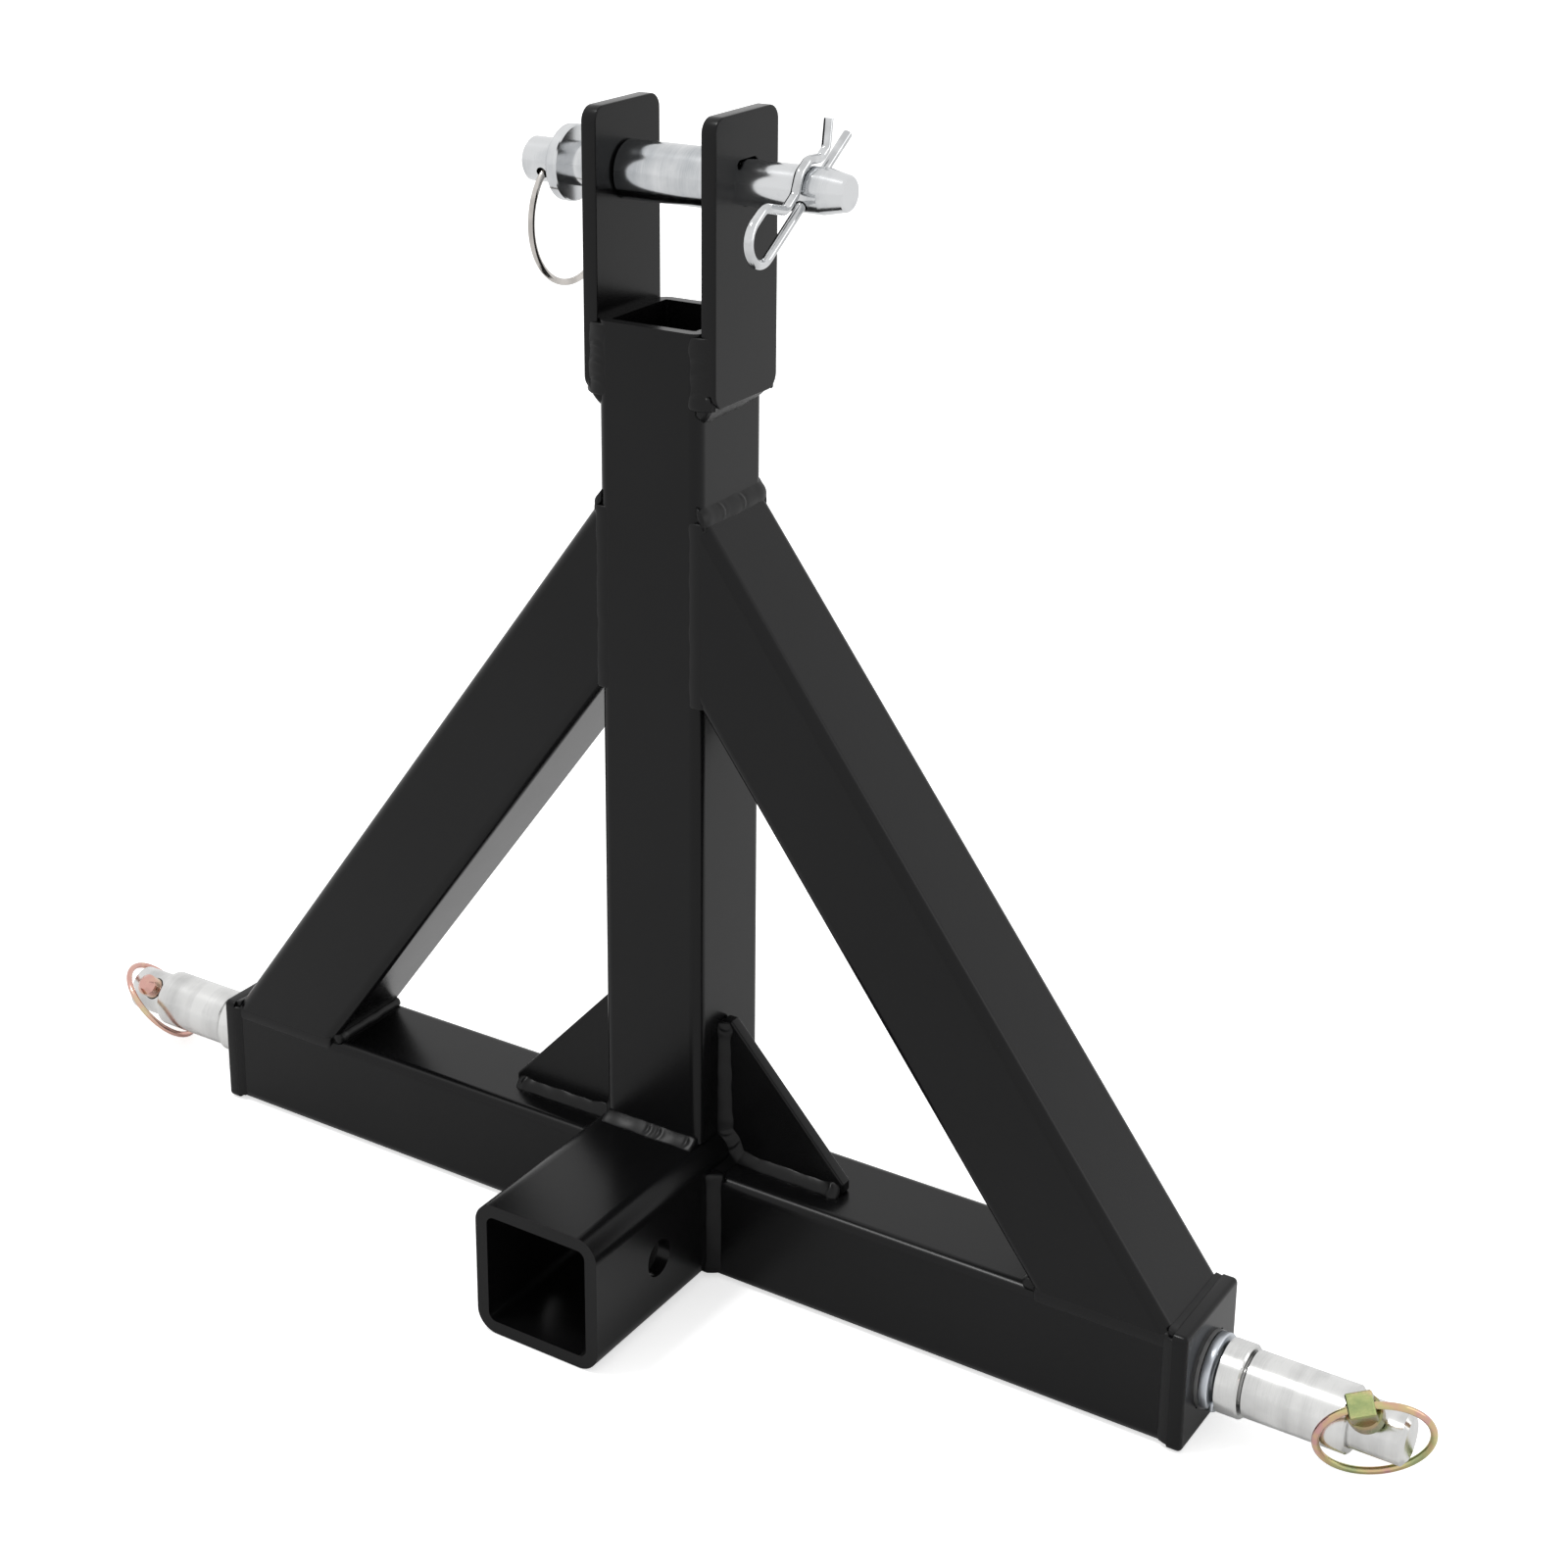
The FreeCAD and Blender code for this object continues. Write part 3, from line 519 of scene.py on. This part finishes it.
receiverWeld = {
    "low": 3.0,
    "past": 2.4,
    "ahead": 0.6,
    "short": 1.0,
    "upright": {"legs": (3.9, 5.3), "crown": 0.3, "ripple": 0.5, "blobs": ((0.98, 0.15),)},
    "over": {"legs": (2.6, 3.7), "crown": 0.3, "ripple": 0.6},
}


# two straight lines: up the crossbar's front beside the receiver, and back over its top to the gusset
def receiverBead(seed):
    weld, x, top = receiverWeld, joint["receiverSide"], joint["barSize"]
    upright = [(x, 0, weld["low"]), (x, 0, top + weld["past"])]
    over = [(x, -weld["ahead"], top), (x, joint["gussetFront"] - weld["short"], top)]
    return [
        beadGrid(upright, (0, -1, 0), (1, 0, 0), weld["upright"], seed),
        beadGrid(over, (0, 0, 1), (1, 0, 0), weld["over"], seed + 1),
    ]


earWeld = {
    "stripInset": (0.4, 1.6),
    "stripPast": 0.6,
    "stripShort": 1.4,
    "stripSides": ((-3.8, -3.0, 0), (4.5, -1.6, 0)),
    "strip": {"legs": (4.84, 4.78), "crown": 0.75, "ripple": 1.4, "stops": (0.22, 0.48, 0.71)},
    "footPath": [(0.8, 3.2), (4.0, 0.8), (8.5, 0.0), (30.0, 0.0), (50.0, 0.6)],
    "foot": {
        "legs": [(5.2, 6.6), (4.6, 7.0), (3.8, 6.4), (3.6, 6.0), (2.6, 4.6)],
        "crown": 0.5,
        "ripple": 0.9,
    },
}


# straight strips up the mast's front and back edges beside the ear, and a bent line under the ear's low edge
def earBead(seed):
    weld, x, low = earWeld, joint["mastSide"], joint["earBottom"]
    inward, backward = weld["stripInset"]
    place = (x - inward, joint["earFront"] + backward)
    strip = [(*place, low - weld["stripPast"]), (*place, joint["mastTop"] - weld["stripShort"])]
    edge = beadGrid(strip, *weld["stripSides"], weld["strip"], seed)
    foot = [(x, y, low + rise) for y, rise in weld["footPath"]]
    return [edge, flipY(edge), beadGrid(foot, (1, 0, 0), (0, 0, -1), weld["foot"], seed + 2)]


braceTopWeld = {
    "inset": 0.4,
    "size": {
        "legs": (3.6, 4.8),
        "crown": 1.1,
        "ripple": 1.1,
        "stops": (0.3, 0.62),
        "blobs": ((0.0, -0.3), (1.0, -0.22)),
    },
}


# a straight line from front to back where the brace's upper face meets the mast
def braceTopBead(seed):
    weld, x, z = braceTopWeld, joint["mastSide"], joint["braceTop"]
    path = [(x, weld["inset"], z), (x, joint["barSize"] - weld["inset"], z)]
    return [beadGrid(path, (0, 0, 1), joint["braceSlope"], weld["size"], seed)]


braceFootWeld = {
    "ends": (1.4, 49.2),
    "size": {"legs": (4.0, 4.0), "crown": 0.5, "ripple": 0.9, "blobs": ((0.06, 0.25),)},
}


# a straight line from front to back where the brace's lower face meets the crossbar
def braceFootBead(seed):
    weld, x, top = braceFootWeld, joint["braceInnerFoot"], joint["barSize"]
    path = [(x, y, top) for y in weld["ends"]]
    return [beadGrid(path, (-1, 0, 0), upSlope, weld["size"], seed)]


gussetWeld = {
    "top": 118.0,
    "turn": [(0.0, 72.0), (0.2, 63.6), (4.6, 56.5)],
    "out": (10.0, 20.0),
    "far": 87.0,
    "inPlate": [(1, 0, 0), (1, 0, 0), (0.95, 0, 0.3), (0.75, 0, 0.66), (0.35, 0, 0.94), (0, 0, 1), (0, 0, 1)],
    "size": {
        "legs": [(4.6, 2.6), (6.0, 3.1), (6.8, 3.2), (7.4, 3.3), (5.8, 3.4), (4.4, 3.6), (4.2, 3.8)],
        "crown": 0.3,
        "stops": (0.02, 0.46, 0.52, 0.97),
        "blobs": ((0.03, 0.22), (0.97, 0.2)),
    },
}


# a line on the gusset's front face: down the mast, round the cut corner, and out along the crossbar
def gussetBead(seed):
    weld, x, y, low = gussetWeld, joint["mastSide"], joint["gussetFront"], joint["barSize"]
    path = [(x, y, weld["top"])] + [(x + out, y, z) for out, z in weld["turn"]]
    path += [(x + out, y, low) for out in weld["out"]] + [(weld["far"], y, low)]
    return [beadGrid(path, weld["inPlate"], (0, -1, 0), weld["size"], seed)]


plateWeld = {
    "ends": (2.2, 51.4),
    "inset": 0.8,
    "upright": {"legs": (4.2, 1.45), "crown": 0.15, "ripple": 0.25},
    "over": {"legs": (3.0, 4.4), "crown": 0.05, "ripple": 0.25, "blobs": ((0.04, 0.1),)},
}


# straight lines up the crossbar's front and back at the end plate, and from front to back at the brace's foot
def plateBead(seed):
    weld, x, top = plateWeld, joint["plateInside"], joint["barSize"]
    upright = [(x, 0, z) for z in weld["ends"]]
    over = [(x, weld["inset"], top), (x, top - weld["inset"], top)]
    edge = beadGrid(upright, (-1, 0, 0), (0, -1, 0), weld["upright"], seed)
    return [edge, flipY(edge), beadGrid(over, (0, 0, 1), upSlope, weld["over"], seed + 1)]


seamWeld = {
    "mastInset": (2.2, 2.4),
    "mastShort": (2.5, 1.0),
    "mastSides": ((-2.8, -2.3, 0), (2.9, -2.4, 0)),
    "mast": {"legs": (3.62, 3.76), "crown": 0.42, "ripple": 0.55},
    "barInset": (2.6, 2.2),
    "barShort": (1.5, 2.0),
    "barSides": ((0, -2.5, -2.9), (0, -2.6, 2.6)),
    "bar": {"legs": (3.83, 3.68), "crown": 0.28, "ripple": 0.14},
}


# flush straight seams, front and back: down the mast at a brace's cut end, and along the brace's foot
def braceSeams(seed):
    weld = seamWeld
    inward, backward = weld["mastInset"]
    top, foot = joint["braceTop"] - weld["mastShort"][0], joint["braceInnerTop"] + weld["mastShort"][1]
    down = [(joint["mastSide"] - inward, backward, z) for z in (top, foot)]
    upright = beadGrid(down, *weld["mastSides"], weld["mast"], seed)
    backward, below = weld["barInset"]
    near, far = joint["braceInnerFoot"] + weld["barShort"][0], joint["plateInside"] - weld["barShort"][1]
    out = [(x, backward, joint["barSize"] - below) for x in (near, far)]
    along = beadGrid(out, *weld["barSides"], weld["bar"], seed + 1)
    return [upright, flipY(upright), along, flipY(along)]


beadPiece("mastFootBead", mastFootBead(), ("mast_foot_weld",))
beadPair("receiverBead", receiverBead, "receiver_weld")
beadPair("earBead", earBead, "ear_weld")
beadPair("braceTopBead", braceTopBead, "brace_top_weld")
beadPair("braceFootBead", braceFootBead, "brace_foot_weld")
beadPair("gussetBead", gussetBead, "gusset_weld")
beadPair("plateBead", plateBead, "end_plate_weld")
beadPair("braceSeam", braceSeams)
print("stage 3: weld beads")


# an outline with rounded corners as centres and outward directions: a point is centre + direction x length
def roundedOutline(corners, radius, steps):
    corners = np.array(corners, dtype=float)
    before = unit(corners - np.roll(corners, 1, axis=0))
    after = unit(np.roll(corners, -1, axis=0) - corners)
    normalIn, normalOut = (np.stack([edge[:, 1], -edge[:, 0]], axis=1) for edge in (before, after))
    cosine = np.sum(normalIn * normalOut, axis=1, keepdims=True)
    centre = corners - radius * (normalIn + normalOut) / (1 + cosine)
    u = np.linspace(0, 1, steps)[None, :, None]
    outward = unit((1 - u) * normalIn[:, None] + u * normalOut[:, None])
    return np.repeat(centre, steps, axis=0), outward.reshape(-1, 2)


# quarter rounds as (inset, depth) pairs from the first face over the rim to the second
def rimRows(thickness, firstRound, secondRound, steps):
    angle = np.linspace(0, np.pi / 2, steps)
    first = [(firstRound * (1 - math.sin(a)), firstRound * (1 - math.cos(a))) for a in angle]
    second = [(secondRound * (1 - math.cos(a)), thickness - secondRound * (1 - math.sin(a))) for a in angle]
    return first + second


edgeLook = {"support": 0.4, "holeRound": 0.4, "rimSteps": 6, "holeSteps": 4}


# a flat plate: rows go from the middle of one face, over the rounded rim, to the middle of the other;
# with a hole they start and end in its bore and close into a ring
def plateGrid(shape, corners):
    look, radius, thickness = edgeLook, shape["corner"], shape["thickness"]
    centre, outward = roundedOutline(corners, radius, shape["cornerSteps"])
    support = min(look["support"], radius - max(shape["rounds"]))
    rim = rimRows(thickness, *shape["rounds"], look["rimSteps"])
    rim = [(rim[0][0] + support, 0.0)] + rim + [(rim[-1][0] + support, thickness)]
    rows = [(centre + outward * (radius - inset), depth) for inset, depth in rim]
    if "hole" not in shape:
        middle = centre.mean(axis=0)
        near = middle + 0.5 * (rows[0][0] - middle)
        return [(near, 0.0)] + rows + [(near, thickness)]
    place, holeRadius = np.array(shape["hole"][:2]), shape["hole"][2]
    away = unit(rows[0][0] - place)
    collar = holeRadius + look["holeRound"] + look["support"]
    bore = rimRows(thickness, look["holeRound"], look["holeRound"], look["holeSteps"])
    bore = [(collar, 0.0)] + [(holeRadius + inset, depth) for inset, depth in bore] + [(collar, thickness)]
    return rows + [(place + away * reach, depth) for reach, depth in reversed(bore)]


# a plate's rows of flat points put in space, mirrored for the left side
def platePiece(name, rows, toSpace, side, replaced, ringed):
    grid = np.stack([toSpace(points, depth) for points, depth in rows])
    grid = grid if side > 0 else mirrorX(grid)
    piece = pieceFrom(name, [grid], "frame_body", ringed, (replaced,))
    piece.data.materials.append(powder)


earShape = {
    "inside": joint["mastSide"],
    "thickness": 7.0,
    "front": joint["earFront"],
    "back": 49.4,
    "low": joint["earBottom"],
    "high": 522.0,
    "corner": 6.5,
    "cornerSteps": 9,
    "rounds": (0.7, 0.7),
    "hole": (25.4, 494.2, 10.5),
}
endPlateShape = {
    "inside": joint["plateInside"],
    "thickness": 6.35,
    "front": -1.5,
    "back": 52.3,
    "low": 0.0,
    "high": 53.9,
    "corner": 2.6,
    "cornerSteps": 9,
    "rounds": (0.3, 2.0),
    "hole": (*joint["pinAxis"], 17.0),
}
gussetShape = {
    "outline": [(25.4, 72.15), (40.4, 50.8), (88.4, 50.8), (88.4, 56.3), (30.9, 118.8), (25.4, 118.8)],
    "front": joint["gussetFront"],
    "thickness": 6.0,
    "corner": 1.8,
    "cornerSteps": 7,
    "rounds": (0.9, 0.9),
}


# the four corners of an upright plate as (y, z)
def upright(shape):
    y0, y1, z0, z1 = shape["front"], shape["back"], shape["low"], shape["high"]
    return [(y0, z0), (y1, z0), (y1, z1), (y0, z1)]


# flat points become (y, z), and depth goes outwards along X from the plate's inner face
def acrossX(inside):
    return lambda points, depth: np.column_stack([np.full(len(points), inside + depth), points])


# flat points become (x, z), and depth goes back along Y from the plate's front face
def acrossY(front):
    return lambda points, depth: np.insert(points, 1, front + depth, axis=1)


earRows = plateGrid(earShape, upright(earShape))
endRows = plateGrid(endPlateShape, upright(endPlateShape))
gussetRows = plateGrid(gussetShape, gussetShape["outline"])
earPlace, endPlace = acrossX(earShape["inside"]), acrossX(endPlateShape["inside"])
gussetPlace = acrossY(gussetShape["front"])
for side, label in ((1, "Right"), (-1, "Left")):
    tail = "_" + label.lower()
    platePiece("clevisEar" + label, earRows, earPlace, side, "clevis_ear" + tail, True)
    platePiece("endPlate" + label, endRows, endPlace, side, "end_plate" + tail, True)
    platePiece("gusset" + label, gussetRows, gussetPlace, side, "gusset" + tail, False)
print("stage 4: plates with rounded edges")

washerShape = {
    "start": 258.6,
    "bore": 10.3,
    "outer": 16.3,
    "thickness": 3.9,
    "rise": 0.9,
    "round": 0.7,
    "cornerSteps": 5,
    "stations": 121,
    "axis": joint["pinAxis"],
    "splitAngle": -45.0,
    "splitWidth": 9.0,
    "slant": 0.16,
}


# a spring washer: a rounded oblong section carried round the pin, moved along X in step with its angle,
# its two cut ends slanted
def washerGrid(shape):
    half = (shape["outer"] - shape["bore"]) / 2
    corners = [(-half, 0), (half, 0), (half, shape["thickness"]), (-half, shape["thickness"])]
    centre, outward = roundedOutline(corners, shape["round"], shape["cornerSteps"])
    section = centre + outward * shape["round"]
    turn = np.linspace(0, 1, shape["stations"])[:, None]
    angle = np.radians(shape["splitAngle"] + shape["splitWidth"] / 2 + turn * (360 - shape["splitWidth"]))
    angle = angle + shape["slant"] * (section[None, :, 1] / shape["thickness"] - 0.5)
    reach = (shape["outer"] + shape["bore"]) / 2 + section[None, :, 0]
    along = shape["start"] + section[None, :, 1] + shape["rise"] * turn
    y = shape["axis"][0] - reach * np.cos(angle)
    z = shape["axis"][1] + reach * np.sin(angle)
    return np.stack([along, y, z], axis=-1)


washer = washerGrid(washerShape)
for label, grid in (("Right", washer), ("Left", mirrorX(washer))):
    node = "lock_washer_" + label.lower()
    piece = pieceFrom("springWasher" + label, [grid], "frame_body", replaced=(node,))
    piece.data.materials.append(washerSteelPaintedLight)
print("stage 5: spring washers")

studio = {
    "floorSize": 60.0,
    "floorDrop": 0.0005,
    "floorPaper": 0.88,
    "floorGlow": 0.6,
    "worldWhite": 1.0,
    "plainTone": 0.8,
    "sunPower": 0.9,
    "sunAngle": 10.0,
    "sunFrom": (-0.35, -0.25, 1.0),
    "sunPlace": (0, 0, 3),
    "sidePower": 5.0,
    "sideSize": (0.8, 1.6),
    "sidePlace": (2.2, 1.2, 0.9),
    "sideTarget": (0, 0, 0.25),
}


# a matrix whose columns are three axes and a place
def frameMatrix(xAxis, yAxis, zAxis, origin):
    columns = [list(xAxis), list(yAxis), list(zAxis), list(origin)]
    return Matrix([[columns[c][r] for c in range(4)] for r in range(3)] + [[0, 0, 0, 1]])


# a lamp that shines against away, with its own X level on the given up axis
def addLamp(data, place, away, up):
    lamp = bpy.data.objects.new(data.name, data)
    bpy.context.scene.collection.objects.link(lamp)
    side = unit(np.cross(up, away))
    lamp.matrix_world = frameMatrix(side, np.cross(away, side), away, place)


# white for the camera's, mirrored and transmitted rays, and a plain tone for all others
def rayTone(nodes, white, plain):
    shown = nodes.node("ShaderNodeLightPath", output="Is Camera Ray")
    for kind in ("Is Glossy Ray", "Is Transmission Ray"):
        shown = shown.most(nodes.node("ShaderNodeLightPath", output=kind))
    return white * shown + plain * (1 - shown)


# white paper that keeps a faint shadow
def floorFinish(look):
    finish = Finish("floorPaper", Roughness=1.0, Specular_IOR_Level=0.0, Emission_Strength=1.0)
    seen = finish.node("ShaderNodeLightPath", output="Is Camera Ray")
    paper = rayTone(finish, look["floorPaper"], look["plainTone"])
    finish.shade(Base_Color=paper, Emission_Color=seen * look["floorGlow"])
    return finish.material


# a plain white world
def skyFinish(look):
    world = bpy.data.worlds.new("studioWorld")
    world.use_nodes = True
    bpy.context.scene.world = world
    sky = Nodes(world.node_tree)
    background = world.node_tree.nodes["Background"]
    sky.feed(background.inputs["Color"], (1, 1, 1, 1))
    sky.feed(background.inputs["Strength"], rayTone(sky, look["worldWhite"], look["plainTone"]))


# a square floor just under the hitch, the world, a soft sun from above and a lamp at the side
def buildStudio(look):
    half = look["floorSize"] / 2
    corners = [(-half, -half, 0), (half, -half, 0), (half, half, 0), (-half, half, 0)]
    mesh = bpy.data.meshes.new("floor")
    mesh.from_pydata(corners, [], [(0, 1, 2, 3)])
    floor = bpy.data.objects.new("floor", mesh)
    bpy.context.scene.collection.objects.link(floor)
    floor.location.z = -look["floorDrop"]
    floor.data.materials.append(floorFinish(look))
    skyFinish(look)
    sun = bpy.data.lights.new("topLight", "SUN")
    sun.energy = look["sunPower"]
    sun.angle = math.radians(look["sunAngle"])
    addLamp(sun, look["sunPlace"], unit(np.array(look["sunFrom"])), (0, 1.0, 0))
    panel = bpy.data.lights.new("sideLamp", "AREA")
    panel.shape = "RECTANGLE"
    panel.size, panel.size_y = look["sideSize"]
    panel.energy = look["sidePower"]
    away = unit(np.array(look["sidePlace"]) - np.array(look["sideTarget"]))
    addLamp(panel, look["sidePlace"], away, (0, 0, 1.0))


photoCamera = {
    "place": (0.598095, -0.891557, 0.700862),
    "azimuth": 35.328,
    "elevation": 18.065,
    "roll": -0.8307,
    "focalPixels": 2763.92,
    "centrePixel": (593.1, 534.55),
    "imageSize": 1600,
    "sensor": 36.0,
    "clip": (0.02, 100),
}


# the camera looks against back, which azimuth and elevation give, and is then turned by roll about it
def buildCamera(look):
    data = bpy.data.cameras.new("photoCamera")
    data.sensor_width = look["sensor"]
    data.lens = look["focalPixels"] * look["sensor"] / look["imageSize"]
    half = look["imageSize"] / 2
    data.shift_x = (half - look["centrePixel"][0]) / look["imageSize"]
    data.shift_y = (look["centrePixel"][1] - half) / look["imageSize"]
    data.clip_start, data.clip_end = look["clip"]
    camera = bpy.data.objects.new("photoCamera", data)
    bpy.context.scene.collection.objects.link(camera)
    azimuth, elevation, roll = (math.radians(look[key]) for key in ("azimuth", "elevation", "roll"))
    level = math.cos(elevation)
    back = np.array([math.sin(azimuth) * level, -math.cos(azimuth) * level, math.sin(elevation)])
    right = unit(np.cross([0, 0, 1.0], back))
    up = np.cross(back, right)
    turnedRight = math.cos(roll) * right + math.sin(roll) * up
    turnedUp = -math.sin(roll) * right + math.cos(roll) * up
    camera.matrix_world = frameMatrix(turnedRight, turnedUp, back, look["place"])
    bpy.context.scene.camera = camera


buildStudio(studio)
buildCamera(photoCamera)
bpy.context.scene.view_settings.view_transform = "Standard"
print("stage 6: studio and camera")
